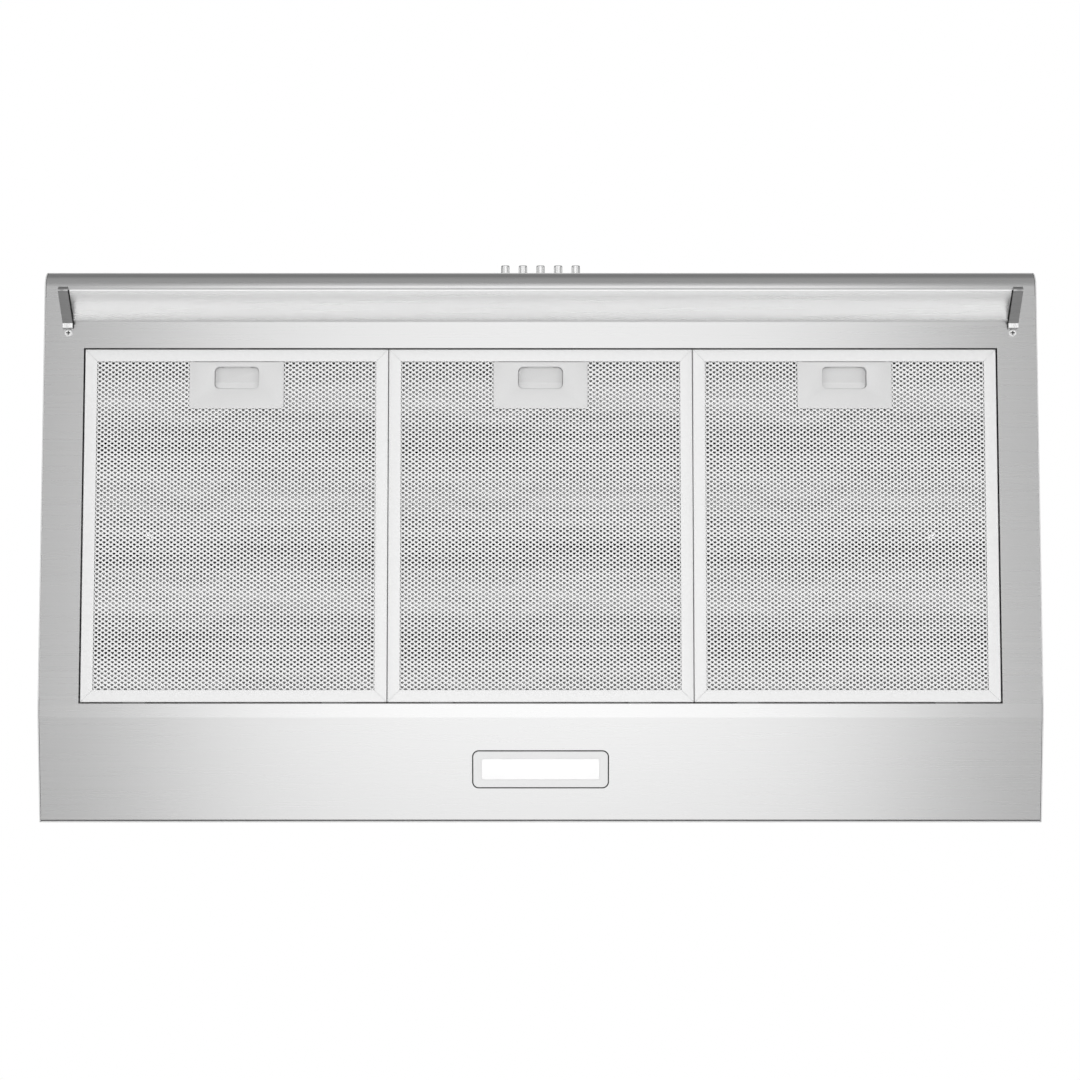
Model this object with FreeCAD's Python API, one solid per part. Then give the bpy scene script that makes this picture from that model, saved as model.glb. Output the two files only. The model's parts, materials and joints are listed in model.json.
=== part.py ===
import FreeCAD, Part
import math
import os

# Under cabinet range hood. Millimetres, +Z up, +X to the right of a person facing the hood, -Y towards them.
# Origin: top mounting face, centre of the four cabinet screws. The wall is the plane y = WALL_Y.

# ---------------------------------------------------------------- driving dimensions
WIDTH = 908.0
DEPTH = 502.0
HEIGHT = 150.0
WALL_Y = 150.0
TOP_DEPTH = 300.0
FRONT_BAND_TOP = 65.0
NOSE_RADIUS = 15.0
PAN_TILT = 4.2
BAND_TILT = 4.3
REAR_BAND = 95.6
STRIP = 11.7

SHEET = 1.0
PANEL = 1.2
SEAM = 0.4
BEND = 1.5
FLANGE = 14.0

FILTER_COUNT = 3
FILTER_WIDTH = 277.0
FILTER_LENGTH = 321.4
FILTER_THICK = 9.5
FILTER_PITCH = 277.35
FILTER_GAP = 1.2
RAIL_FACE = 11.4
RAIL_WALL = 1.0
RAIL_LIP = 0.8
MESH_LAYERS = 5
MESH_THICK = 0.4
MESH_FIRST = 1.1
MESH_STEP = 1.7

HANDLE_WIDTH = 86.0
HANDLE_LENGTH = 42.6
HANDLE_START = 11.6
HANDLE_CORNER = 3.0
WINDOW_WIDTH = 41.0
WINDOW_LENGTH = 20.6
WINDOW_START = 15.7
WINDOW_RADIUS = 5.0
LATCH_TRAVEL = 6.0

LAMP_Y = 101.6
LAMP_CUT = (123.8, 34.9)
LAMP_BEZEL = (121.6, 32.7)
LAMP_WINDOW = (106.8, 19.0)

BUTTON_COUNT = 5
BUTTON_PITCH = 16.4
BUTTON_RADIUS = 4.0
BUTTON_PROUD = 9.4
BUTTON_Z = -86.0
BUTTON_TRAVEL = 3.5

VISOR_HALF = 433.4
VISOR_FRONT = (-331.6, -147.0)
VISOR_REAR = (-305.8, -128.4)
GLASS = 4.0
ARM_INNER_X = 426.8
ARM_WIDTH = 9.0
ARM_THICK = 1.6
ARM_FOOT_Y = -303.2
ARM_LEG_Y = -298.6
VISOR_SCREW_Y = -294.7
VISOR_SCREW_X = 431.2

DUCT_Y = 62.0
DUCT_RADIUS = 75.0
DUCT_WALL = 1.5
DUCT_HEIGHT = 45.0
DUCT_FLANGE = 86.0
DAMPER_Z = 14.0
ROD_RADIUS = 1.5

WHEEL_Y = -66.0
WHEEL_Z = -70.0
WHEEL_RADIUS = 46.0
WHEEL_HALF = 66.0
SCROLL_HALF = 76.0
SCROLL_BOTTOM = -127.0
OUTLET_FRONT = -10.0
OUTLET_REAR = 138.0
BLADES = 32
MOTOR_RADIUS = 32.0
MOTOR_START = 92.0
MOTOR_LENGTH = 50.0
SHAFT_RADIUS = 4.0

CABINET_X = 380.0
CABINET_Y = 110.0
CABINET_HOLE = 3.2
BOX_X = 280.0
BOX_HALF = 50.0
BOX_FRONT = 60.0
BOX_REAR = 130.0
BOX_DROP = 55.0
INLET_Y = 108.0
INLET_BORE = 8.0
INLET_SLEEVE = 11.0
GROUND_OFFSET = 36.0

SCREW_SHANK = 1.9
SCREW_HEAD = 3.5
HOLE_CLEARANCE = 0.15
LEAD_RADIUS = 2.5

# ---------------------------------------------------------------- worked out from them
FRONT_Y = WALL_Y - DEPTH
SLOPE_Y = WALL_Y - TOP_DEPTH
INNER_HALF = WIDTH / 2 - PANEL
PAN_HALF = INNER_HALF - SEAM
CREASE_REAR = WALL_Y - REAR_BAND
CREASE_FRONT = CREASE_REAR - STRIP
PAN_SLOPE = math.tan(math.radians(PAN_TILT))
BAND_SLOPE = math.tan(math.radians(BAND_TILT))
FILTER_REAR = -(FILTER_GAP + 0.8)
FILTER_FRONT = FILTER_REAR - FILTER_LENGTH
SCREW_HOLE = SCREW_SHANK + HOLE_CLEARANCE
X_AXIS = FreeCAD.Vector(1, 0, 0)
Y_AXIS = FreeCAD.Vector(0, 1, 0)
Z_AXIS = FreeCAD.Vector(0, 0, 1)


# ---------------------------------------------------------------- helpers
def box(x, y, z):
    """A block between the two ends of each range."""
    corner = FreeCAD.Vector(x[0], y[0], z[0])
    return Part.makeBox(x[1] - x[0], y[1] - y[0], z[1] - z[0], corner)


def rod(radius, start, direction, length):
    return Part.makeCylinder(radius, length, FreeCAD.Vector(*start), direction)


def tube(outer, inner, start, direction, length):
    return rod(outer, start, direction, length).cut(rod(inner, start, direction, length))


def rounded_block(width, length, low, high, radius, centre=(0, 0)):
    """A block standing on its rounded rectangle, which is centred on centre."""
    x, y = centre
    block = box((x - width / 2, x + width / 2), (y - length / 2, y + length / 2), (low, high))
    upright = [e for e in block.Edges if abs(e.tangentAt(e.FirstParameter).z) > 0.5]
    return block.makeFillet(radius, upright)


def fuse(first, *others):
    return first.multiFuse(list(others)).removeSplitter()


def cut_all(shape, tools):
    return shape.cut(Part.makeCompound(tools))


def pan_z(y):
    """Height of the pan's outer face, in front of the crease."""
    return -HEIGHT + PAN_SLOPE * (CREASE_FRONT - y)


def band_z(y):
    """Height of the rear band's outer face, behind the crease."""
    return -HEIGHT + BAND_SLOPE * (y - CREASE_REAR)


def on_pan(shape):
    """Moves a shape from pan coordinates, which start at the crease on the pan's outer face."""
    turn = FreeCAD.Rotation(X_AXIS, -PAN_TILT)
    shape.Placement = FreeCAD.Placement(FreeCAD.Vector(0, CREASE_FRONT, -HEIGHT), turn)
    return shape.copy()


def on_band(shape):
    """Moves a shape from lamp coordinates, which start at the lamp's centre on the rear band."""
    turn = FreeCAD.Rotation(X_AXIS, BAND_TILT)
    shape.Placement = FreeCAD.Placement(FreeCAD.Vector(0, LAMP_Y, band_z(LAMP_Y)), turn)
    return shape.copy()


def rounded_edges(points, radii):
    """Straight runs through the points, joined by tangent arcs."""
    edges = []
    start = points[0]
    for before, corner, after, radius in zip(points, points[1:], points[2:], radii):
        into = (corner - before).normalize()
        out = (after - corner).normalize()
        half_turn = into.getAngle(out) / 2
        reach = radius * math.tan(half_turn)
        arc_start = corner - into * reach
        arc_end = corner + out * reach
        rise = radius * (1 / math.cos(half_turn) - 1)
        middle = corner + (out - into).normalize() * rise
        edges.append(Part.LineSegment(start, arc_start).toShape())
        edges.append(Part.Arc(arc_start, middle, arc_end).toShape())
        start = arc_end
    edges.append(Part.LineSegment(start, points[-1]).toShape())
    return edges


def inside_line(points, thickness):
    """The (y, z) line that runs a sheet's thickness to the left of another."""
    normals = []
    for (y0, z0), (y1, z1) in zip(points, points[1:]):
        run = math.hypot(y1 - y0, z1 - z0)
        normals.append(((z0 - z1) / run, (y1 - y0) / run))
    moved = [(points[0][0] + normals[0][0] * thickness, points[0][1] + normals[0][1] * thickness)]
    for point, a, b in zip(points[1:-1], normals, normals[1:]):
        share = thickness / (1 + a[0] * b[0] + a[1] * b[1])
        moved.append((point[0] + (a[0] + b[0]) * share, point[1] + (a[1] + b[1]) * share))
    last = points[-1]
    moved.append((last[0] + normals[-1][0] * thickness, last[1] + normals[-1][1] * thickness))
    return moved


def turns_left(before, corner, after):
    first = (corner[0] - before[0], corner[1] - before[1])
    second = (after[0] - corner[0], after[1] - corner[1])
    return first[0] * second[1] - first[1] * second[0] > 0


def folded_sheet(points, bends, thickness, x_low, x_high):
    """A sheet folded along X: points are its outer face in (y, z), bends are the radii there."""
    inner_bends = []
    for before, corner, after, bend in zip(points, points[1:], points[2:], bends):
        change = -thickness if turns_left(before, corner, after) else thickness
        inner_bends.append(bend + change)
    outer = [FreeCAD.Vector(x_low, y, z) for y, z in points]
    inner = [FreeCAD.Vector(x_low, y, z) for y, z in inside_line(points, thickness)]
    edges = rounded_edges(outer, bends) + rounded_edges(inner, inner_bends)
    edges.append(Part.LineSegment(outer[0], inner[0]).toShape())
    edges.append(Part.LineSegment(outer[-1], inner[-1]).toShape())
    wire = Part.Wire(Part.__sortEdges__(edges))
    return Part.Face(wire).extrude(FreeCAD.Vector(x_high - x_low, 0, 0))


def prism_x(points, x_low, x_high):
    """A block with a (y, z) outline."""
    corners = [FreeCAD.Vector(x_low, y, z) for y, z in points]
    outline = Part.makePolygon(corners + corners[:1])
    return Part.Face(outline).extrude(FreeCAD.Vector(x_high - x_low, 0, 0))


def pan_head_screw(position, direction, length):
    """A pan head screw: the head's seat is at position, the shank runs along direction."""
    head_height = 2.2
    recess_depth = 1.2
    slot_half = 0.45
    reach = 1.9
    head = Part.makeCylinder(SCREW_HEAD, head_height, FreeCAD.Vector(0, 0, -head_height), Z_AXIS)
    rim = [e for e in head.Edges if e.Closed and e.BoundBox.ZMax < -head_height / 2]
    head = head.makeFillet(1.2, rim)
    shank = rod(SCREW_SHANK, (0, 0, 0), Z_AXIS, length)
    floor = -head_height + recess_depth
    cross = [
        box((-reach, reach), (-slot_half, slot_half), (-head_height, floor)),
        box((-slot_half, slot_half), (-reach, reach), (-head_height, floor)),
    ]
    screw = cut_all(fuse(head, shank), cross)
    turn = FreeCAD.Rotation(Z_AXIS, direction)
    screw.Placement = FreeCAD.Placement(FreeCAD.Vector(*position), turn)
    return screw.copy()


def lead(points):
    """A round lead along straight runs joined by arcs as large as the runs allow."""
    route = [FreeCAD.Vector(*p) for p in points]
    radii = []
    for before, corner, after in zip(route, route[1:], route[2:]):
        into = corner - before
        out = after - corner
        half_turn = into.getAngle(out) / 2
        radii.append(0.45 * min(into.Length, out.Length) / math.tan(half_turn))
    spine = Part.Wire(rounded_edges(route, radii))
    section = Part.Wire(Part.makeCircle(LEAD_RADIUS, route[0], route[1] - route[0]))
    return spine.makePipeShell([section], True, True)


# ---------------------------------------------------------------- screw places
SIDE_SCREW_Y = [-120.0, 0.0, 120.0]
SIDE_SCREW_X = INNER_HALF - 7.0
BACK_SCREW_X = [-200.0, -110.0, 110.0, 200.0]
BACK_SCREW_Y = WALL_Y - PANEL - 7.0
COLLAR_SCREW_RADIUS = 80.5
BLOWER_SCREWS = [(x, y) for x in (-83.0, 83.0) for y in (0.0, 64.0, 128.0)]


def canopy_screw_places():
    sides = [(side * SIDE_SCREW_X, y) for side in (-1, 1) for y in SIDE_SCREW_Y]
    return sides + [(x, BACK_SCREW_Y) for x in BACK_SCREW_X]


def collar_screw_places():
    places = []
    for quarter in range(4):
        angle = math.radians(45 + 90 * quarter)
        x = COLLAR_SCREW_RADIUS * math.cos(angle)
        places.append((x, DUCT_Y + COLLAR_SCREW_RADIUS * math.sin(angle)))
    return places


def upright_holes(places, low, high):
    return [rod(SCREW_HOLE, (x, y, low), Z_AXIS, high - low) for x, y in places]


# ---------------------------------------------------------------- sheet metal
def slope_point(distance, drop=0.0):
    """A point on the sloping front, measured from the front band's top edge."""
    rise = FRONT_BAND_TOP
    run = SLOPE_Y - FRONT_Y
    length = math.hypot(rise, run)
    y = FRONT_Y + (run * distance + rise * drop) / length
    return y, -FRONT_BAND_TOP + (rise * distance - run * drop) / length


def bottom_pan():
    """Front band, rolled nose, filter plane, crease strip and rear band, all one folded sheet."""
    low = slope_point(0, SHEET)
    rise = (low[0] - FRONT_Y) * FRONT_BAND_TOP / (SLOPE_Y - FRONT_Y)
    rear = WALL_Y - PANEL - SEAM / 2
    points = [
        slope_point(FLANGE, SHEET),
        (FRONT_Y, low[1] - rise),
        (FRONT_Y, pan_z(FRONT_Y)),
        (CREASE_FRONT, -HEIGHT),
        (CREASE_REAR, -HEIGHT),
        (rear, band_z(rear)),
        (rear, band_z(rear) + FLANGE),
    ]
    sheet = folded_sheet(points, [BEND, NOSE_RADIUS, 3, 3, BEND], SHEET, -PAN_HALF, PAN_HALF)
    opening_half = FILTER_PITCH * (FILTER_COUNT - 1) / 2 + FILTER_WIDTH / 2 + FILTER_GAP
    y_range = (FILTER_FRONT - FILTER_GAP, FILTER_REAR + FILTER_GAP)
    tools = [on_pan(box((-opening_half, opening_half), y_range, (-5, 5)))]
    tools.append(on_band(rounded_block(*LAMP_CUT, -5, 5, 6.0)))
    for x in button_places():
        tools.append(rod(BUTTON_RADIUS + 0.4, (x, FRONT_Y - 5, BUTTON_Z), Y_AXIS, 10))
    slot_z = pan_z(ARM_LEG_Y)
    for side in (-1, 1):
        ends = sorted([side * (ARM_INNER_X - 0.3), side * (ARM_INNER_X + ARM_WIDTH + 0.3)])
        slot = box(ends, (ARM_LEG_Y - ARM_THICK - 1.2, ARM_LEG_Y + 1.0), (slot_z - 5, slot_z + 5))
        tools.append(slot)
        tools.append(visor_screw_hole(side))
    return cut_all(sheet, tools)


def top_canopy():
    """The flat top and the sloping front, one folded sheet."""
    points = [(WALL_Y, 0.0), (SLOPE_Y, 0.0), slope_point(1.6)]
    sheet = folded_sheet(points, [BEND + 2], SHEET, -PAN_HALF, PAN_HALF)
    tools = [rod(DUCT_RADIUS - DUCT_WALL, (0, DUCT_Y, -5), Z_AXIS, 10)]
    tools.append(rod(INLET_SLEEVE, (BOX_X, INLET_Y, -5), Z_AXIS, 10))
    for x in (-CABINET_X, CABINET_X):
        for y in (-CABINET_Y, CABINET_Y):
            tools.append(rod(CABINET_HOLE, (x, y, -5), Z_AXIS, 10))
    places = canopy_screw_places() + collar_screw_places() + BLOWER_SCREWS
    return cut_all(sheet, tools + upright_holes(places, -5, 5))


def side_panel(side):
    """An end plate with the hood's whole profile and three inward flanges."""
    nose = FreeCAD.Vector(0, FRONT_Y, pan_z(FRONT_Y))
    outline = [
        FreeCAD.Vector(0, WALL_Y, -1.5),
        FreeCAD.Vector(0, WALL_Y, 0),
        FreeCAD.Vector(0, SLOPE_Y, 0),
        FreeCAD.Vector(0, FRONT_Y, -FRONT_BAND_TOP),
        nose,
        FreeCAD.Vector(0, CREASE_FRONT, -HEIGHT),
        FreeCAD.Vector(0, CREASE_REAR, -HEIGHT),
        FreeCAD.Vector(0, WALL_Y, band_z(WALL_Y)),
        FreeCAD.Vector(0, WALL_Y, -1.5),
    ]
    edges = rounded_edges(outline, [0.8, 3, 1.2, NOSE_RADIUS, 3, 3, 0.8])
    plate = Part.Face(Part.Wire(Part.__sortEdges__(edges))).extrude(FreeCAD.Vector(PANEL, 0, 0))
    plate.translate(FreeCAD.Vector(INNER_HALF, 0, 0))
    rim = [e for e in plate.Edges if abs(e.BoundBox.XMin - WIDTH / 2) < 0.01]
    plate = plate.makeFillet(0.5, rim)
    inner = INNER_HALF - FLANGE
    outer = INNER_HALF + PANEL / 2
    back = WALL_Y - PANEL
    top = box((inner, outer), (SLOPE_Y + 10, back - PANEL - 1), (-SHEET - PANEL, -SHEET))
    rear = box((inner, outer), (back - PANEL, back), (-120, -16))
    front_y = FRONT_Y + 24
    rear_y = CREASE_FRONT - 6
    seat = SHEET / math.cos(math.radians(PAN_TILT)) + 0.05
    bottom = prism_x(
        [
            (front_y, pan_z(front_y) + seat),
            (rear_y, pan_z(rear_y) + seat),
            (rear_y, pan_z(rear_y) + seat + PANEL),
            (front_y, pan_z(front_y) + seat + PANEL),
        ],
        inner,
        outer,
    )
    tab_clear = box((inner - 1, outer - PANEL), (ARM_LEG_Y - 8, ARM_LEG_Y + 16), (-HEIGHT, -90))
    panel = fuse(plate, top, rear, bottom.cut(tab_clear))
    places = [(SIDE_SCREW_X, y) for y in SIDE_SCREW_Y]
    panel = cut_all(panel, upright_holes(places, -5, 5))
    if side < 0:
        panel = panel.mirror(FreeCAD.Vector(0, 0, 0), X_AXIS)
    return panel


def back_panel():
    """The wall side, with a flange under the canopy."""
    plate_front = WALL_Y - PANEL
    half = PAN_HALF - FLANGE - 4
    plate = box((-PAN_HALF, PAN_HALF), (plate_front, WALL_Y), (band_z(WALL_Y), -SHEET))
    outer_low = [e for e in plate.Edges if e.BoundBox.ZMax < -HEIGHT / 2 and e.BoundBox.XLength > 1]
    plate = plate.makeFillet(0.5, outer_low)
    middle = DUCT_FLANGE + 8
    flanges = []
    for ends in ((-half, -middle), (middle, half)):
        flanges.append(box(ends, (plate_front - FLANGE, WALL_Y - 0.5), (-SHEET - PANEL, -SHEET)))
    panel = fuse(plate, *flanges)
    return cut_all(panel, upright_holes([(x, BACK_SCREW_Y) for x in BACK_SCREW_X], -5, 5))


def filter_ledge_rear():
    """An angle on the crease strip behind the filters: it stops grease and locates the rear tabs."""
    half = FILTER_PITCH * FILTER_COUNT / 2
    heel = CREASE_FRONT + 6.1
    foot = box((-half, half), (heel, CREASE_REAR - 1), (-HEIGHT + SHEET, -HEIGHT + 2 * SHEET))
    upright = box((-half, half), (heel, heel + SHEET), (-HEIGHT + SHEET, -136))
    return fuse(foot, upright)


def filter_ledge_front():
    """An angle on the pan in front of the filters, which stiffens the pan's front edge."""
    half = FILTER_PITCH * FILTER_COUNT / 2
    heel = FILTER_FRONT - FILTER_GAP - 4
    foot = box((-half, half), (heel - FLANGE, heel), (SHEET, 2 * SHEET))
    upright = box((-half, half), (heel - SHEET, heel), (SHEET, 15))
    return on_pan(fuse(foot, upright))


# ---------------------------------------------------------------- visor
def visor_directions():
    """Unit vectors in (y, z): along the glass from front to rear, and up through it."""
    run = VISOR_REAR[0] - VISOR_FRONT[0]
    rise = VISOR_REAR[1] - VISOR_FRONT[1]
    length = math.hypot(run, rise)
    return (run / length, rise / length), (-rise / length, run / length), length


def visor_point(along, up):
    """A (y, z) point from its distance along the glass and above its lower face."""
    direction, normal, _ = visor_directions()
    y = VISOR_FRONT[0] + direction[0] * along + normal[0] * up
    return y, VISOR_FRONT[1] + direction[1] * along + normal[1] * up


def visor_block(along, up, x_low, x_high):
    ends = [(along[0], up[0]), (along[1], up[0]), (along[1], up[1]), (along[0], up[1])]
    return prism_x([visor_point(*end) for end in ends], x_low, x_high)


def visor_glass():
    _, _, length = visor_directions()
    glass = visor_block((0, length), (0, GLASS), -VISOR_HALF, VISOR_HALF)
    return glass.makeChamfer(0.5, [e for e in glass.Edges if e.Length > VISOR_HALF])


PAN_NORMAL = FreeCAD.Vector(0, math.sin(math.radians(PAN_TILT)), math.cos(math.radians(PAN_TILT)))


def visor_screw_hole(side):
    start = FreeCAD.Vector(side * VISOR_SCREW_X, VISOR_SCREW_Y, pan_z(VISOR_SCREW_Y)) - PAN_NORMAL * 5
    return rod(SCREW_HOLE, start, PAN_NORMAL, 15)


def visor_bracket(side):
    """A strap that hooks the glass's front edge and runs under its end to a short flat foot.

    The foot turns through a slot in the pan to a tab, which a screw holds inside."""
    below = -1.0 - ARM_THICK
    front = -0.6 - ARM_THICK
    start = visor_point(front, below)
    direction, _, _ = visor_directions()
    reach = (ARM_FOOT_Y - start[0]) / direction[0]
    foot_z = start[1] + direction[1] * reach
    foot_drop = pan_z(ARM_LEG_Y) - pan_z(ARM_FOOT_Y)
    tab_end = ARM_LEG_Y + 11.5
    seat = SHEET / math.cos(math.radians(PAN_TILT))
    points = [
        visor_point(front, GLASS * 0.6),
        start,
        (ARM_FOOT_Y, foot_z),
        (ARM_LEG_Y, foot_z + foot_drop),
        (ARM_LEG_Y, pan_z(ARM_LEG_Y) + seat),
        (tab_end, pan_z(tab_end) + seat),
    ]
    strap = folded_sheet(points, [2.2, 0.5, 1.9, 0.6], ARM_THICK, ARM_INNER_X, ARM_INNER_X + ARM_WIDTH)
    strap = strap.cut(visor_screw_hole(1))
    if side < 0:
        strap = strap.mirror(FreeCAD.Vector(0, 0, 0), X_AXIS)
    return strap


def visor_gaskets():
    """Rubber pads between the glass and the two brackets."""
    _, _, length = visor_directions()
    pads = []
    for side in (-1, 1):
        ends = sorted([side * (ARM_INNER_X - 0.9), side * (ARM_INNER_X + ARM_WIDTH - 1)])
        pads.append(visor_block((-0.2, length + 2), (-0.95, -0.05), *ends))
    return Part.makeCompound(pads)


def visor_screws():
    screws = []
    for side in (-1, 1):
        seat = (side * VISOR_SCREW_X, VISOR_SCREW_Y, pan_z(VISOR_SCREW_Y) - 0.02)
        screws.append(pan_head_screw(seat, PAN_NORMAL, 5.0))
    return Part.makeCompound(screws)


# ---------------------------------------------------------------- lamp
LAMP_DEPTH = 11.5


def lamp_gasket():
    """A black seal: a ring in the cut-out and a flange on the pan's inner face."""
    ring = rounded_block(LAMP_CUT[0] - 0.1, LAMP_CUT[1] - 0.1, 0.3, 2.0, 5.9)
    flange = rounded_block(LAMP_CUT[0] + 10, LAMP_CUT[1] + 8, SHEET + 0.05, 2.0, 8.0)
    hole = rounded_block(LAMP_BEZEL[0] + 0.1, LAMP_BEZEL[1] + 0.1, -1, 3, 5.0)
    return on_band(fuse(ring, flange).cut(hole))


def lamp_housing():
    """The bezel and tray: open above, with a window for the diffuser."""
    body = rounded_block(*LAMP_BEZEL, -0.5, LAMP_DEPTH, 5.0)
    flange = rounded_block(LAMP_CUT[0] + 12, LAMP_CUT[1] + 10, 2.05, 3.2, 9.0)
    wall = 1.5
    tray = rounded_block(LAMP_BEZEL[0] - 2 * wall, LAMP_BEZEL[1] - 2 * wall, 4.0, LAMP_DEPTH + 1, 3.5)
    seat = rounded_block(LAMP_WINDOW[0] + 4, LAMP_WINDOW[1] + 4, 1.0, 5.0, 3.0)
    window = rounded_block(*LAMP_WINDOW, -1, 2, 2.0)
    rim = [e for e in body.Edges if e.BoundBox.ZMax < 0]
    body = body.makeFillet(0.4, rim)
    return on_band(cut_all(fuse(body, flange), [tray, seat, window]))


def lamp_diffuser():
    """The opal plate, with a raised field that fills the bezel's window."""
    plate = rounded_block(LAMP_WINDOW[0] + 3.8, LAMP_WINDOW[1] + 3.8, 1.05, 2.6, 2.9)
    field = rounded_block(LAMP_WINDOW[0] - 0.2, LAMP_WINDOW[1] - 0.2, 0.1, 1.5, 1.9)
    return on_band(fuse(plate, field))


def led_board():
    return on_band(box((-54, 54), (-10, 10), (8.0, 9.6)))


def led_chips():
    chips = []
    for row in (-5.0, 5.0):
        for step in range(9):
            x = (step - 4) * 11.5
            chips.append(box((x - 1.75, x + 1.75), (row - 1.4, row + 1.4), (7.2, 8.0)))
    return on_band(Part.makeCompound(chips))


DRIVER_X = (130.0, 210.0)
DRIVER_Y = (92.0, 128.0)
DRIVER_Z = (-143.0, -118.0)


def led_driver():
    block = box(DRIVER_X, DRIVER_Y, DRIVER_Z)
    return block.makeFillet(2.0, [e for e in block.Edges if e.BoundBox.ZLength > 10])


def lamp_lead():
    """Two leads: lamp to driver, and driver to junction box."""
    middle_y = sum(DRIVER_Y) / 2
    end_x = LAMP_BEZEL[0] / 2 + 0.1
    exit_z = band_z(LAMP_Y) + 7.5
    first = [
        (end_x, LAMP_Y, exit_z),
        (80, LAMP_Y, exit_z),
        (110, middle_y, -130),
        (DRIVER_X[0], middle_y, -130),
    ]
    cover_z = -SHEET - BOX_DROP - SHEET
    second = [
        (DRIVER_X[1], middle_y, -130),
        (236, middle_y, -130),
        (262, middle_y - 6, -98),
        (268, middle_y - 10, -78),
        (268, middle_y - 10, cover_z),
    ]
    return Part.makeCompound([lead(first), lead(second)])


# ---------------------------------------------------------------- buttons and switch
def button_places():
    middle = (BUTTON_COUNT - 1) / 2
    return [(place - middle) * BUTTON_PITCH for place in range(BUTTON_COUNT)]


CAP_REAR = FRONT_Y + 3.0
SWITCH_FACE = FRONT_Y + 7.5
SWITCH_REAR = FRONT_Y + 34.0
STEM_HALF = 2.0


def button(x):
    """A fluted round cap on a square stem."""
    front = FRONT_Y - BUTTON_PROUD
    cap = rod(BUTTON_RADIUS, (x, front, BUTTON_Z), Y_AXIS, CAP_REAR - front)
    cap = cap.makeFillet(0.6, [e for e in cap.Edges if e.Closed and e.BoundBox.YMax < front + 0.1])
    flutes = []
    for step in range(12):
        angle = math.radians(15 + 30 * step)
        place = (x + (BUTTON_RADIUS + 0.25) * math.cos(angle), front + 1.2)
        z = BUTTON_Z + (BUTTON_RADIUS + 0.25) * math.sin(angle)
        flutes.append(rod(0.55, (place[0], place[1], z), Y_AXIS, BUTTON_PROUD))
    stem_z = (BUTTON_Z - STEM_HALF, BUTTON_Z + STEM_HALF)
    stem = box((x - STEM_HALF, x + STEM_HALF), (CAP_REAR - 1, SWITCH_FACE + 9), stem_z)
    return fuse(cap.cut(Part.makeCompound(flutes)), stem)


def switch_housing():
    """The five-way switch body, with a pocket for each stem and a fixing ear at each end."""
    body = box((-42, 42), (SWITCH_FACE, SWITCH_REAR), (BUTTON_Z - 12, BUTTON_Z + 12))
    ears = box((-52, 52), (SWITCH_FACE, SWITCH_FACE + 3), (BUTTON_Z - 8, BUTTON_Z + 8))
    pocket = STEM_HALF + 0.5
    tools = []
    for x in button_places():
        z = (BUTTON_Z - pocket, BUTTON_Z + pocket)
        tools.append(box((x - pocket, x + pocket), (SWITCH_FACE - 1, SWITCH_FACE + 15), z))
    for x in (-47, 47):
        tools.append(rod(SCREW_HOLE, (x, SWITCH_FACE - 1, BUTTON_Z), Y_AXIS, 6))
    return cut_all(fuse(body, ears), tools)


def switch_bracket():
    """A hat section inside the front band: its feet are welded to the band, its web holds the switch."""
    web = (SWITCH_FACE - SHEET, SWITCH_FACE)
    z = (BUTTON_Z - 13, BUTTON_Z + 13)
    band = FRONT_Y + SHEET
    shape = [box((-58, 58), web, z)]
    for side in (-1, 1):
        shape.append(box(sorted([side * 57, side * 58]), (band, web[1]), z))
        shape.append(box(sorted([side * 57, side * 68]), (band, band + SHEET), z))
    tools = [rod(BUTTON_RADIUS + 1, (x, web[0] - 1, BUTTON_Z), Y_AXIS, 3) for x in button_places()]
    tools += [rod(SCREW_HOLE, (x, web[0] - 1, BUTTON_Z), Y_AXIS, 3) for x in (-47, 47)]
    return cut_all(fuse(*shape), tools)


def switch_screws():
    backwards = FreeCAD.Vector(0, -1, 0)
    seat = SWITCH_FACE + 3
    return Part.makeCompound([pan_head_screw((x, seat, BUTTON_Z), backwards, 5.0) for x in (-47, 47)])


def switch_lead():
    return lead(
        [
            (30, SWITCH_REAR, BUTTON_Z),
            (30, -290, BUTTON_Z),
            (60, -240, -62),
            (140, -150, -32),
            (225, -50, -22),
            (BOX_X, 20, -22),
            (BOX_X, BOX_FRONT, -22),
        ]
    )


# ---------------------------------------------------------------- filters
def filter_centre(number):
    return (number - (FILTER_COUNT + 1) / 2) * FILTER_PITCH


def from_front(distance):
    """Pan coordinate of a place measured from a filter's front edge."""
    return FILTER_FRONT + distance


LATCH_LOW = 5.9
LATCH_HIGH = 6.9
TONGUE_HALF = 12.0
CUP_LENGTH = 29.6
CUP_TOP = 8.5


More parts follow.
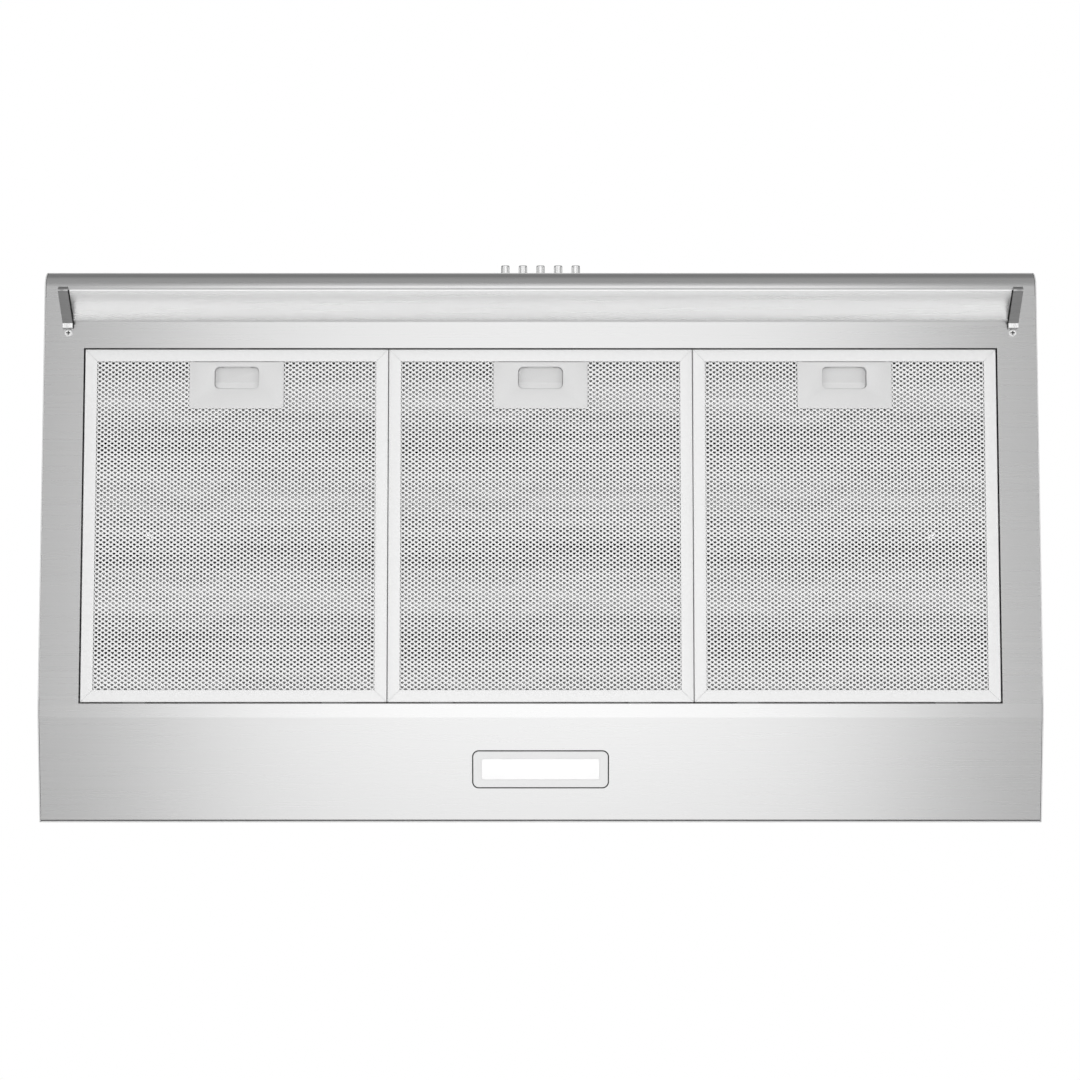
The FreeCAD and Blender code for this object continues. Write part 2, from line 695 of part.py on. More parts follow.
def filter_frame(number):
    """A channel frame with two rear tabs and a slot for the latch tongue."""
    x = filter_centre(number)
    half = FILTER_WIDTH / 2
    span = (FILTER_FRONT, FILTER_REAR)
    block = box((x - half, x + half), span, (0, FILTER_THICK))
    rim = [e for e in block.Edges if e.BoundBox.ZMax < 0.1 or e.BoundBox.ZLength > 5]
    block = block.makeFillet(0.6, rim)
    window_half = half - RAIL_FACE
    window_span = (span[0] + RAIL_FACE, span[1] - RAIL_FACE)
    window = box((x - window_half, x + window_half), window_span, (-1, FILTER_THICK + 1))
    inner = half - RAIL_WALL
    groove_span = (span[0] + RAIL_WALL, span[1] - RAIL_WALL)
    groove = box((x - inner, x + inner), groove_span, (RAIL_LIP, FILTER_THICK - RAIL_LIP))
    slot_x = (x - TONGUE_HALF - 0.4, x + TONGUE_HALF + 0.4)
    slot = box(slot_x, (span[0] - 1, span[0] + 3), (LATCH_LOW - 0.4, LATCH_HIGH + 0.4))
    tabs = []
    for place in (-90, 90):
        tab_y = (span[1] - RAIL_WALL, 5.0)
        tabs.append(box((x + place - 10, x + place + 10), tab_y, (1.9, 2.9)))
    return on_pan(fuse(cut_all(block, [window, groove, slot]), *tabs))


def filter_mesh(number):
    """Stacked mesh layers, each a thin closed sheet, notched round the handle's cup."""
    x = filter_centre(number)
    half = FILTER_WIDTH / 2 - RAIL_WALL - 0.5
    span = (FILTER_FRONT + RAIL_WALL + 0.5, FILTER_REAR - RAIL_WALL - 0.5)
    cup_half = WINDOW_WIDTH / 2 + 1.8
    notch_y = (span[0] - 1, from_front(WINDOW_START + CUP_LENGTH))
    notch = box((x - cup_half, x + cup_half), notch_y, (0, FILTER_THICK))
    layers = []
    for layer in range(MESH_LAYERS):
        low = MESH_FIRST + MESH_STEP * layer
        sheet = box((x - half, x + half), span, (low, low + MESH_THICK))
        layers.append(sheet.cut(notch))
    return on_pan(Part.makeCompound(layers))


def handle_plate(number):
    """The plate with a finger window, and behind it the cup that the latch slides in."""
    x = filter_centre(number)
    plate_y = (from_front(HANDLE_START), from_front(HANDLE_START + HANDLE_LENGTH))
    plate = box((x - HANDLE_WIDTH / 2, x + HANDLE_WIDTH / 2), plate_y, (0.3, 1.0))
    rear_corners = [e for e in plate.Edges if e.BoundBox.YMin > plate_y[1] - 0.1 and e.Length < 1.0]
    plate = plate.makeFillet(HANDLE_CORNER, rear_corners)
    cup_half = WINDOW_WIDTH / 2 + 1.4
    cup_y = (from_front(WINDOW_START - 1.4), from_front(WINDOW_START + CUP_LENGTH - 0.6))
    cup = box((x - cup_half, x + cup_half), cup_y, (0.9, CUP_TOP))
    cavity_y = (from_front(WINDOW_START + 8), from_front(WINDOW_START + CUP_LENGTH - 2))
    cavity = box((x - WINDOW_WIDTH / 2, x + WINDOW_WIDTH / 2), cavity_y, (1.6, 7.7))
    middle = from_front(WINDOW_START + WINDOW_LENGTH / 2)
    window = rounded_block(WINDOW_WIDTH, WINDOW_LENGTH, -1, 7.7, WINDOW_RADIUS, (x, middle))
    slot_x = (x - TONGUE_HALF - 0.4, x + TONGUE_HALF + 0.4)
    slot = box(slot_x, (cup_y[0] - 1, cup_y[0] + 3), (LATCH_LOW - 0.4, LATCH_HIGH + 0.4))
    return on_pan(cut_all(fuse(plate, cup), [cavity, window, slot]))


def latch(number):
    """The slider: a tongue towards the pan's edge, and a sloping lip for the finger."""
    x = filter_centre(number)
    width = WINDOW_WIDTH - 0.8
    length = WINDOW_LENGTH - 0.6
    middle = from_front(WINDOW_START + 0.3 + length / 2)
    base = rounded_block(width, length, LATCH_LOW, LATCH_HIGH, WINDOW_RADIUS - 0.3, (x, middle))
    tongue_y = (from_front(-FILTER_GAP + 0.2), middle)
    tongue = box((x - TONGUE_HALF, x + TONGUE_HALF), tongue_y, (LATCH_LOW, LATCH_HIGH))
    lip_rear = from_front(WINDOW_START + 0.3 + length)
    lip_front = lip_rear - 6.2
    lip_half = width / 2
    outline = [(lip_front, LATCH_LOW + 0.1), (lip_rear, 1.9), (lip_rear, LATCH_HIGH), (lip_front, LATCH_HIGH)]
    lip = prism_x(outline, x - lip_half, x + lip_half)
    corner = rounded_block(width, length, 0, FILTER_THICK, WINDOW_RADIUS - 0.3, (x, middle))
    return on_pan(fuse(base, tongue, lip.common(corner)))


# ---------------------------------------------------------------- blower
def scroll_outline():
    """The scroll's outer face in (y, z), from the rear of the outlet round to its front."""
    return [
        (OUTLET_REAR, -SHEET),
        (OUTLET_REAR, SCROLL_BOTTOM),
        (WHEEL_Y - 54, SCROLL_BOTTOM),
        (WHEEL_Y - 54, WHEEL_Z + 52),
        (WHEEL_Y + 24, WHEEL_Z + 52),
        (WHEEL_Y + 42, WHEEL_Z + 30),
        (OUTLET_FRONT, -12),
        (OUTLET_FRONT, -SHEET),
    ]


SCROLL_BENDS = [58, 54, 50, 12, 4, 10]


def scroll_housing():
    """The wrap and two cheeks, with an inlet in each cheek and a flange round the outlet."""
    points = scroll_outline()
    outward = list(reversed(points))
    wrap = folded_sheet(outward, list(reversed(SCROLL_BENDS)), SHEET, -SCROLL_HALF, SCROLL_HALF)
    line = [FreeCAD.Vector(0, y, z) for y, z in points]
    edges = rounded_edges(line, SCROLL_BENDS)
    edges.append(Part.LineSegment(line[-1], line[0]).toShape())
    cheek_face = Part.Face(Part.Wire(Part.__sortEdges__(edges)))
    shape = [wrap]
    for start in (-SCROLL_HALF - SHEET, SCROLL_HALF):
        cheek = cheek_face.extrude(FreeCAD.Vector(SHEET, 0, 0))
        cheek.translate(FreeCAD.Vector(start, 0, 0))
        shape.append(cheek)
    half = SCROLL_HALF + 12
    flange = box((-half, half), (OUTLET_FRONT - 8, OUTLET_REAR + 6), (-2 * SHEET, -SHEET))
    mouth = box((-SCROLL_HALF, SCROLL_HALF), (OUTLET_FRONT, OUTLET_REAR), (-3, 3))
    shape.append(flange.cut(mouth))
    inlets = rod(WHEEL_RADIUS - 8, (-SCROLL_HALF - 5, WHEEL_Y, WHEEL_Z), X_AXIS, 2 * SCROLL_HALF + 10)
    stud_hole = rod(4.3, (-SCROLL_HALF - 5, CAPACITOR_Y, CAPACITOR_Z), X_AXIS, 10)
    tools = [inlets, stud_hole] + upright_holes(BLOWER_SCREWS, -5, 5)
    return cut_all(fuse(*shape), tools)


def inlet_ring(side):
    """A turned-in bell mouth on a cheek of the scroll."""
    outer = SCROLL_HALF + SHEET
    neck = WHEEL_RADIUS - 9.5
    section = [
        FreeCAD.Vector(outer - 7, neck, 0),
        FreeCAD.Vector(outer + 1, neck, 0),
        FreeCAD.Vector(outer + 3, neck + 3, 0),
        FreeCAD.Vector(outer + 1, neck + 7.5, 0),
        FreeCAD.Vector(outer, neck + 7.5, 0),
        FreeCAD.Vector(outer, neck + 1.2, 0),
        FreeCAD.Vector(outer - 7, neck + 1.2, 0),
    ]
    face = Part.Face(Part.makePolygon(section + section[:1]))
    ring = face.revolve(FreeCAD.Vector(0, 0, 0), X_AXIS, 360)
    if side < 0:
        ring = ring.mirror(FreeCAD.Vector(0, 0, 0), X_AXIS)
    ring.translate(FreeCAD.Vector(0, WHEEL_Y, WHEEL_Z))
    return ring


def motor_can():
    can = rod(MOTOR_RADIUS, (MOTOR_START, WHEEL_Y, WHEEL_Z), X_AXIS, MOTOR_LENGTH)
    can = can.makeFillet(4.0, [e for e in can.Edges if e.Closed])
    return can.cut(rod(SHAFT_RADIUS + 0.3, (MOTOR_START - 1, WHEEL_Y, WHEEL_Z), X_AXIS, 11))


def motor_bracket():
    """A ring round the motor with three legs that stand on the right cheek."""
    start = MOTOR_START + 10
    centre = (start, WHEEL_Y, WHEEL_Z)
    shape = [tube(MOTOR_RADIUS + 2.5, MOTOR_RADIUS + 0.05, centre, X_AXIS, 12)]
    cheek = SCROLL_HALF + SHEET
    reach = WHEEL_RADIUS + 4
    for turn in (90, 210, 330):
        arm = box((start, start + 12), (MOTOR_RADIUS + 1, reach), (-5, 5))
        leg = box((cheek, start + 12), (reach - 3, reach), (-5, 5))
        part = arm.fuse(leg)
        part.rotate(FreeCAD.Vector(0, 0, 0), X_AXIS, turn)
        part.translate(FreeCAD.Vector(0, WHEEL_Y, WHEEL_Z))
        shape.append(part)
    return fuse(*shape)


def impeller():
    """A double-inlet wheel: forward-curved blades between end rings, on a central disc and hub."""
    inner = WHEEL_RADIUS - 9
    shape = []
    for start in (-WHEEL_HALF, WHEEL_HALF - 3):
        shape.append(tube(WHEEL_RADIUS, inner + 1, (start, 0, 0), X_AXIS, 3))
    shape.append(rod(WHEEL_RADIUS, (-1, 0, 0), X_AXIS, 2))
    shape.append(rod(11, (-12, 0, 0), X_AXIS, 24))
    for step in range(BLADES):
        blade = box((-WHEEL_HALF, WHEEL_HALF), (-4.6, 4.6), (-0.45, 0.45))
        blade.rotate(FreeCAD.Vector(0, 0, 0), X_AXIS, 30)
        blade.translate(FreeCAD.Vector(0, WHEEL_RADIUS - 4.8, 0))
        blade.rotate(FreeCAD.Vector(0, 0, 0), X_AXIS, 360 / BLADES * step)
        shape.append(blade)
    wheel = fuse(*shape).common(rod(WHEEL_RADIUS, (-WHEEL_HALF, 0, 0), X_AXIS, 2 * WHEEL_HALF))
    wheel = wheel.cut(rod(SHAFT_RADIUS + 0.02, (-20, 0, 0), X_AXIS, 40))
    wheel.translate(FreeCAD.Vector(0, WHEEL_Y, WHEEL_Z))
    return wheel


def motor_shaft():
    return rod(SHAFT_RADIUS, (-14, WHEEL_Y, WHEEL_Z), X_AXIS, MOTOR_START + 8 + 14)


def blower_screws():
    return Part.makeCompound(
        [pan_head_screw((x, y, -2 * SHEET), Z_AXIS, 2 * SHEET - 0.05) for x, y in BLOWER_SCREWS]
    )


CAPACITOR_Y = 60.0
CAPACITOR_Z = -60.0


def capacitor():
    """The motor's run capacitor, held on the left cheek by its stud and nut."""
    cheek = -SCROLL_HALF - SHEET
    can = rod(15, (cheek - 46, CAPACITOR_Y, CAPACITOR_Z), X_AXIS, 46)
    can = can.makeFillet(2.0, [e for e in can.Edges if e.Closed])
    stud = rod(4, (cheek - 1, CAPACITOR_Y, CAPACITOR_Z), X_AXIS, 9)
    nut = tube(7, 4, (cheek + SHEET, CAPACITOR_Y, CAPACITOR_Z), X_AXIS, 4)
    return fuse(can, stud, nut)


def motor_lead():
    end = MOTOR_START + MOTOR_LENGTH
    return lead(
        [
            (end, WHEEL_Y, WHEEL_Z),
            (end + 24, WHEEL_Y, WHEEL_Z),
            (end + 36, -22, -38),
            (end + 44, 45, -24),
            (end + 60, 92, -22),
            (BOX_X - BOX_HALF, 92, -22),
        ]
    )


# ---------------------------------------------------------------- duct collar and damper
def duct_collar():
    """The spigot: a flange on the canopy, a tube for the duct, rod bearings and flap stops."""
    flange = rod(DUCT_FLANGE, (0, DUCT_Y, 0), Z_AXIS, PANEL)
    outside = rod(DUCT_RADIUS, (0, DUCT_Y, 0), Z_AXIS, DUCT_HEIGHT)
    bore = rod(DUCT_RADIUS - DUCT_WALL, (0, DUCT_Y, -1), Z_AXIS, DUCT_HEIGHT + 2)
    collar = fuse(flange, outside).cut(bore)
    lip = [e for e in collar.Edges if e.BoundBox.ZMin > DUCT_HEIGHT - 0.1]
    collar = collar.makeFillet(0.5, lip)
    stops = []
    inner = DUCT_RADIUS - DUCT_WALL
    for side in (-1, 1):
        ends = sorted([DUCT_Y + side * (inner - 5), DUCT_Y + side * (inner + 0.7)])
        stops.append(box((-6, 6), ends, (DAMPER_Z - 3, DAMPER_Z - 0.9)))
    holes = [rod(ROD_RADIUS, (-DUCT_RADIUS - 1, DUCT_Y, DAMPER_Z), X_AXIS, 2 * DUCT_RADIUS + 2)]
    holes += upright_holes(collar_screw_places(), -1, 3)
    return cut_all(fuse(collar, *stops), holes)


def damper_rod():
    half = DUCT_RADIUS - 0.2
    return rod(ROD_RADIUS, (-half, DUCT_Y, DAMPER_Z), X_AXIS, 2 * half)


def damper_flap(side):
    """A half disc with two knuckles on the rod. Side -1 is the front flap, +1 the rear one."""
    half_thick = 0.5
    radius = DUCT_RADIUS - DUCT_WALL - 2.0
    disc = rod(radius, (0, DUCT_Y, DAMPER_Z - half_thick), Z_AXIS, 2 * half_thick)
    ends = sorted([DUCT_Y + side * 7, DUCT_Y + side * (radius + 1)])
    shape = [disc.common(box((-radius, radius), ends, (0, 2 * DAMPER_Z)))]
    barrel = 3.0
    for start in (-55, 15):
        x = start + (20 if side > 0 else 0)
        knuckle = rod(barrel, (x, DUCT_Y, DAMPER_Z), X_AXIS, 18)
        web_ends = sorted([DUCT_Y + side * 1, DUCT_Y + side * 8])
        web = box((x, x + 18), web_ends, (DAMPER_Z - half_thick, DAMPER_Z + half_thick))
        shape += [knuckle, web]
    bore = rod(ROD_RADIUS + 0.1, (-DUCT_RADIUS, DUCT_Y, DAMPER_Z), X_AXIS, 2 * DUCT_RADIUS)
    return fuse(*shape).cut(bore)


def sheet_screws():
    """The screws that join canopy, side panels, back panel and collar."""
    screws = []
    for x, y in canopy_screw_places():
        screws.append(pan_head_screw((x, y, -SHEET - PANEL), Z_AXIS, SHEET + PANEL - 0.05))
    for x, y in collar_screw_places():
        screws.append(pan_head_screw((x, y, PANEL), FreeCAD.Vector(0, 0, -1), PANEL + SHEET))
    return Part.makeCompound(screws)


# ---------------------------------------------------------------- wiring
def junction_box():
    """A tray under the canopy, open below, with the inlet hole in its top."""
    x = (BOX_X - BOX_HALF, BOX_X + BOX_HALF)
    low = -SHEET - BOX_DROP
    outer = box(x, (BOX_FRONT, BOX_REAR), (low, -SHEET))
    hollow = box((x[0] + SHEET, x[1] - SHEET), (BOX_FRONT + SHEET, BOX_REAR - SHEET), (low - 1, -2 * SHEET))
    inlet = rod(INLET_SLEEVE, (BOX_X, INLET_Y, -5), Z_AXIS, 10)
    ground_hole = rod(SCREW_HOLE, (BOX_X + GROUND_OFFSET, INLET_Y, -5), Z_AXIS, 10)
    return cut_all(outer, [hollow, inlet, ground_hole])


def junction_cover():
    low = -SHEET - BOX_DROP - SHEET
    return box((BOX_X - BOX_HALF, BOX_X + BOX_HALF), (BOX_FRONT, BOX_REAR), (low, low + SHEET))


def terminal_block():
    block = box((BOX_X - 24, BOX_X + 24), (72, 90), (-16, -2 * SHEET))
    wells = [rod(2.5, (BOX_X - 18 + 12 * step, 81, -17), Z_AXIS, 6) for step in range(4)]
    return cut_all(block, wells)


def ground_screw():
    seat = (BOX_X + GROUND_OFFSET, INLET_Y, -2 * SHEET)
    return pan_head_screw(seat, Z_AXIS, SHEET - 0.05)


def cable_bushing():
    """The bush for the house cable: its head is inside the junction box, its sleeve flush on top."""
    head = rod(INLET_SLEEVE + 3, (BOX_X, INLET_Y, -2 * SHEET - 2.5), Z_AXIS, 2.5)
    sleeve = rod(INLET_SLEEVE - 0.05, (BOX_X, INLET_Y, -2 * SHEET - 1), Z_AXIS, 2 * SHEET + 1)
    return fuse(head, sleeve).cut(rod(INLET_BORE, (BOX_X, INLET_Y, -10), Z_AXIS, 20))


# ---------------------------------------------------------------- all the nodes
def nodes():
    named = {
        "bottom_pan": bottom_pan(),
        "top_canopy": top_canopy(),
        "left_side_panel": side_panel(-1),
        "right_side_panel": side_panel(1),
        "back_panel": back_panel(),
        "filter_ledge_rear": filter_ledge_rear(),
        "filter_ledge_front": filter_ledge_front(),
        "sheet_screws": sheet_screws(),
        "visor_glass": visor_glass(),
        "visor_bracket_left": visor_bracket(-1),
        "visor_bracket_right": visor_bracket(1),
        "visor_gaskets": visor_gaskets(),
        "visor_screws": visor_screws(),
        "lamp_gasket": lamp_gasket(),
        "lamp_housing": lamp_housing(),
        "lamp_diffuser": lamp_diffuser(),
        "led_board": led_board(),
        "led_chips": led_chips(),
        "led_driver": led_driver(),
        "lamp_lead": lamp_lead(),
        "switch_housing": switch_housing(),
        "switch_bracket": switch_bracket(),
        "switch_screws": switch_screws(),
        "switch_lead": switch_lead(),
        "scroll_housing": scroll_housing(),
        "inlet_ring_left": inlet_ring(-1),
        "inlet_ring_right": inlet_ring(1),
        "motor_can": motor_can(),
        "motor_bracket": motor_bracket(),
        "impeller": impeller(),
        "motor_shaft": motor_shaft(),
        "blower_screws": blower_screws(),
        "capacitor": capacitor(),
        "motor_lead": motor_lead(),
        "duct_collar": duct_collar(),
        "damper_rod": damper_rod(),
        "damper_flap_front": damper_flap(-1),
        "damper_flap_rear": damper_flap(1),
        "junction_box": junction_box(),
        "junction_cover": junction_cover(),
        "terminal_block": terminal_block(),
        "ground_screw": ground_screw(),
        "cable_bushing": cable_bushing(),
    }
    for number, x in enumerate(button_places(), start=1):
        named[f"button_{number}"] = button(x)
    for number in range(1, FILTER_COUNT + 1):
        named[f"filter_{number}_frame"] = filter_frame(number)
        named[f"filter_{number}_mesh"] = filter_mesh(number)
        named[f"filter_{number}_handle"] = handle_plate(number)
        named[f"filter_{number}_latch"] = latch(number)
    return named


def main():
    os.makedirs("parts", exist_ok=True)
    for name, shape in nodes().items():
        shape.exportStep(f"parts/{name}.step")
        print(name, len(shape.Solids), round(shape.Volume / 1000, 1), shape.isValid())


main()
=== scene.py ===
import json
import math

import bmesh
import bpy
import numpy as np
from mathutils import Matrix, Vector


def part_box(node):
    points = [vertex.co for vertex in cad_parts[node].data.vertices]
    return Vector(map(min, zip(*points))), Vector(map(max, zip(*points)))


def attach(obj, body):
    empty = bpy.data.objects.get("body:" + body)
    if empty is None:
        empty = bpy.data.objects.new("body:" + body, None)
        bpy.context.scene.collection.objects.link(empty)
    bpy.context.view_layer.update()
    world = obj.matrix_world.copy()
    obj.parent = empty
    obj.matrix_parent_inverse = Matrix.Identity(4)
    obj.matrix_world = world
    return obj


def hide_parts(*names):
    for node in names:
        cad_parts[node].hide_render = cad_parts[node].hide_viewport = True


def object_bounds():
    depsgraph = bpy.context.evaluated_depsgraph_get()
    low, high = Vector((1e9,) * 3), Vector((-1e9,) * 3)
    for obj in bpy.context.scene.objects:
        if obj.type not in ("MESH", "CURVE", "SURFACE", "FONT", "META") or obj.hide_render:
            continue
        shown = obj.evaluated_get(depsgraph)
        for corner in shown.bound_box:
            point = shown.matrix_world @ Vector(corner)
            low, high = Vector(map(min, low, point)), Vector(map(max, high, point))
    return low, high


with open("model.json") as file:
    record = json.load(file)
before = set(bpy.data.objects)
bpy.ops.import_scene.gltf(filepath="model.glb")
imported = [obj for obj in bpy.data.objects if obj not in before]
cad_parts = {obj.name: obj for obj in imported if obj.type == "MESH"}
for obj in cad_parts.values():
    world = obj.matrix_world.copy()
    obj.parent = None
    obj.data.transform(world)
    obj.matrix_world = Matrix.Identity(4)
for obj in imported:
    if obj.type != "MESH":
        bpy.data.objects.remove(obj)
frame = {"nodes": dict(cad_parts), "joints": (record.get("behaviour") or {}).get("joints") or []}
cad_low, cad_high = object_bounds()

# Under cabinet range hood, seen from below. Metres, in the CAD frame: +X right, -Y front, +Z up.

# ---------------------------------------------------------------- dimensions
MM = 0.001
FILTERS = (1, 2, 3)
BUTTONS = (1, 2, 3, 4, 5)
SIDES = ("left", "right")

# filter frames: a channel's outline, the gaps between rails, and the tabs behind the pan's edge
RAIL_FACE = 11.1 * MM
RAIL_WALL = 1.0 * MM
RAIL_LIP = 0.8 * MM
RAIL_ROUND = 0.9 * MM
HEM_ROUND = 0.35 * MM
MITRE_GAP = 0.16 * MM
SIDE_GAP = 0.15 * MM
TAB_RISE = 1.9 * MM
TAB_SPACING = 90 * MM
TAB_HALF = 10 * MM
MESH_INSET = 1.5 * MM

# expanded mesh: cell pitch, row height and height above the frame's face, for each layer,
# and each opening's (half width, half of its flat side, half height)
FACE_PITCH = 6.1 * MM
FACE_ROW = 2.05 * MM
FACE_LIFT = 1.45 * MM
FACE_OPENING = (1.55 * MM, 0.95 * MM, 0.82 * MM)
INNER_PITCH = 6.1 * MM
INNER_ROW = 2.15 * MM
INNER_LIFT = 3.5 * MM
INNER_OPENING = (2.0 * MM, 1.1 * MM, 1.1 * MM)
DEEP_PITCH = 8.4 * MM
DEEP_ROW = 3.0 * MM
DEEP_LIFT = 6.2 * MM
DEEP_OPENING = (2.7 * MM, 0.9 * MM, 1.6 * MM)
STRAND_THICK = 0.5 * MM
STRAND_TWIST = 0.12 * MM
MESH_MARGIN = 8.0 * MM
HANDLE_COVER = 4.5 * MM

# small areas with painted highlights and painted shade
LIP_LENGTH = 6.4 * MM
BRACKET_FOOT_Y = -304.6 * MM
VISOR_SCREW = (431.2 * MM, -294.7 * MM)
SCREW_RECESS = 2.4 * MM
RIM_DEPTH = 1.4 * MM
FACING_DOWN = -0.5
FACING_FRONT = -0.5

# rounded corners
WELD = 0.002 * MM
FLAT_ANGLE = math.radians(0.6)
CORNER_ANGLE = math.radians(28.0)
SMOOTH_ANGLE = math.radians(40.0)
BEVEL_STEPS = 2

# studio
SENSOR = 36.0
LENS = 70.2
CAMERA_X = -0.5 * MM
CAMERA_DROP = 1.9
FLOOR_DROP = 2.75
FLOOR_SIZE = 30.0
FLOOR_STEPS = 12
LIGHT_Z = cad_low.z - 2.7
CREASE_LIGHT_Z = LIGHT_Z + 0.1
FILL_LEVEL = 0.78
STUDIO_STRENGTH = 1.6
STUDIO_STOPS = (
    (0.0, 0.25), (0.12, 0.25), (0.36, 0.26), (0.5, 0.15), (0.84, 0.17), (0.93, 0.6), (1.0, 1.0)
)

LATCH_AXIS = Vector(next(j["axis"] for j in frame["joints"] if j["name"] == "latch_1_slide"))
PAN_TILT = math.atan2(-LATCH_AXIS.z, LATCH_AXIS.y)
TO_PAN = Matrix.Rotation(PAN_TILT, 4, "X")
FROM_PAN = Matrix.Rotation(-PAN_TILT, 4, "X")


def pan_box(node):
    """(low, high) of a node in axes turned with the pan: X, towards the wall, up from the pan."""
    spots = np.array([TO_PAN @ v.co for v in frame["nodes"][node].data.vertices])
    return Vector(spots.min(0)), Vector(spots.max(0))


# ---------------------------------------------------------------- material nodes
def add_node(tree, kind, **values):
    node = tree.nodes.new(kind)
    for name, value in values.items():
        setattr(node, name, value)
    return node


def link(tree, source, target):
    tree.links.new(source, target)


def principled(material):
    return material.node_tree.nodes["Principled BSDF"]


def new_material(name, **sockets):
    """A material with one Principled shader, whose sockets are named with _ for spaces."""
    material = bpy.data.materials.new("look_" + name)
    material.use_nodes = True
    shader = principled(material)
    for socket, value in sockets.items():
        shader.inputs[socket.replace("_", " ")].default_value = value
    return material, material.node_tree, shader


def grey(value):
    return (value, value, value, 1.0)


def noise(tree, scale, detail=4.0):
    """Noise over the piece's own coordinates, with its own scale along each axis, per metre."""
    place = add_node(tree, "ShaderNodeTexCoord")
    stretch = add_node(tree, "ShaderNodeMapping")
    stretch.inputs["Scale"].default_value = scale
    texture = add_node(tree, "ShaderNodeTexNoise")
    texture.inputs["Scale"].default_value = 1.0
    texture.inputs["Detail"].default_value = detail
    link(tree, place.outputs["Object"], stretch.inputs["Vector"])
    link(tree, stretch.outputs["Vector"], texture.inputs["Vector"])
    return texture.outputs["Fac"]


def cells(tree, scale):
    """A flat value per irregular cell, for zinc crystals."""
    place = add_node(tree, "ShaderNodeTexCoord")
    texture = add_node(tree, "ShaderNodeTexVoronoi", feature="F1")
    texture.inputs["Scale"].default_value = scale
    link(tree, place.outputs["Object"], texture.inputs["Vector"])
    split = add_node(tree, "ShaderNodeSeparateColor")
    link(tree, texture.outputs["Color"], split.inputs["Color"])
    return split.outputs["Red"]


def drive(tree, source, target, low, high, source_low=0.3, source_high=0.7):
    """Sends a source, which lies mostly in a known range, to a socket between low and high."""
    spread = add_node(tree, "ShaderNodeMapRange")
    values = (source_low, source_high, low, high)
    for socket, value in zip(("From Min", "From Max", "To Min", "To Max"), values):
        spread.inputs[socket].default_value = value
    link(tree, source, spread.inputs["Value"])
    link(tree, spread.outputs["Result"], target)


MIX_FACTOR = 0
MIX_COLOR_A = 6
MIX_COLOR_B = 7
MIX_COLOR_RESULT = 2


def paint(tree, source, shader, dark, light):
    """Mixes two colours into the base colour by a source."""
    blend = add_node(tree, "ShaderNodeMix", data_type="RGBA")
    blend.inputs[MIX_COLOR_A].default_value = dark
    blend.inputs[MIX_COLOR_B].default_value = light
    drive(tree, source, blend.inputs[MIX_FACTOR], 0.0, 1.0)
    link(tree, blend.outputs[MIX_COLOR_RESULT], shader.inputs["Base Color"])


def relief(tree, source, shader, depth, strength=0.3):
    """Fine relief, this deep in metres, that shows in the shading only."""
    bump = add_node(tree, "ShaderNodeBump")
    bump.inputs["Strength"].default_value = strength
    bump.inputs["Distance"].default_value = depth
    link(tree, source, bump.inputs["Height"])
    link(tree, bump.outputs["Normal"], shader.inputs["Normal"])


# ---------------------------------------------------------------- materials
def brushed_steel(name, grain):
    """Stainless sheet with its grain along one axis: reflections spread across the grain."""
    material, tree, shader = new_material(name, Metallic=1.0, Anisotropic=0.15)
    along = [7.0 if part else 1100.0 for part in grain]
    fine = noise(tree, along, detail=5.0)
    paint(tree, fine, shader, grey(0.703), grey(0.723))
    drive(tree, fine, shader.inputs["Roughness"], 0.27, 0.29)
    relief(tree, fine, shader, 0.02 * MM, strength=0.05)
    surface = add_node(tree, "ShaderNodeNewGeometry")
    across = add_node(tree, "ShaderNodeVectorMath", operation="CROSS_PRODUCT")
    across.inputs[1].default_value = grain
    link(tree, surface.outputs["Normal"], across.inputs[0])
    link(tree, across.outputs["Vector"], shader.inputs["Tangent"])
    return material


def satin_metal(name, dark, light, rough, scale=(240.0, 240.0, 240.0)):
    """Metal with a fine mottle."""
    material, tree, shader = new_material(name, Metallic=1.0)
    mottle = noise(tree, scale, detail=6.0)
    paint(tree, mottle, shader, grey(dark), grey(light))
    drive(tree, mottle, shader.inputs["Roughness"], *rough)
    relief(tree, mottle, shader, 0.01 * MM)
    return material


def brass_screw():
    """Brass, tarnished in patches."""
    material, tree, shader = new_material("brass_screw", Metallic=1.0)
    tarnish = noise(tree, (500.0, 500.0, 500.0))
    paint(tree, tarnish, shader, (0.62, 0.42, 0.16, 1.0), (0.85, 0.62, 0.27, 1.0))
    drive(tree, tarnish, shader.inputs["Roughness"], 0.22, 0.4)
    return material


def zinc_sheet():
    """Galvanised sheet: large faint crystals under a fine mottle."""
    material, tree, shader = new_material("zinc_sheet", Metallic=0.9)
    crystals = cells(tree, 95.0)
    paint(tree, crystals, shader, (0.57, 0.58, 0.59, 1.0), (0.66, 0.67, 0.68, 1.0))
    drive(tree, crystals, shader.inputs["Roughness"], 0.30, 0.46, 0.0, 1.0)
    relief(tree, noise(tree, (500.0, 500.0, 500.0)), shader, 0.02 * MM)
    return material


def filter_aluminium():
    """Lacquered aluminium profile: nearly white, with a fine grain."""
    material, tree, shader = new_material("filter_aluminium", Metallic=0.25)
    grain = noise(tree, (260.0, 260.0, 260.0), detail=6.0)
    paint(tree, grain, shader, grey(0.855), grey(0.885))
    drive(tree, grain, shader.inputs["Roughness"], 0.36, 0.46)
    relief(tree, grain, shader, 0.01 * MM)
    return material


